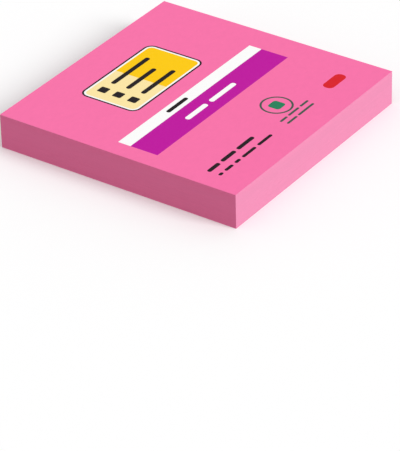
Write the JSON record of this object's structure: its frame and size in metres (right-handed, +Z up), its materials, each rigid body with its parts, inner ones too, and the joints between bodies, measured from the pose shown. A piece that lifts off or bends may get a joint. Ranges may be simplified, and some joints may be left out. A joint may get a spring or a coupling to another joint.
{
  "type": "sticky note pad",
  "caption": "Square pad of pink self-stick notes with a printed cover sheet, a block of leaves glued along one edge and a backing sheet.",
  "frame": {"origin": "centre of the underside of the backing sheet", "axes": "+Z up out of the cover, +X along the reading direction of the cover, +Y towards the glued edge"},
  "size_m": [0.076, 0.076, 0.0101],
  "materials": {
    "cover_paper": "uncoated dyed paper with offset print",
    "note_paper": "uncoated dyed paper, guillotined edges",
    "backing_paper": "uncoated dyed paper",
    "adhesive": "clear soft acrylic coat"
  },
  "bodies": {
    "root": {"cover_sheet": "cover_paper", "cover_adhesive": "adhesive", "note_block": "note_paper", "base_adhesive": "adhesive", "backing_sheet": "backing_paper"}
  },
  "joints": []
}
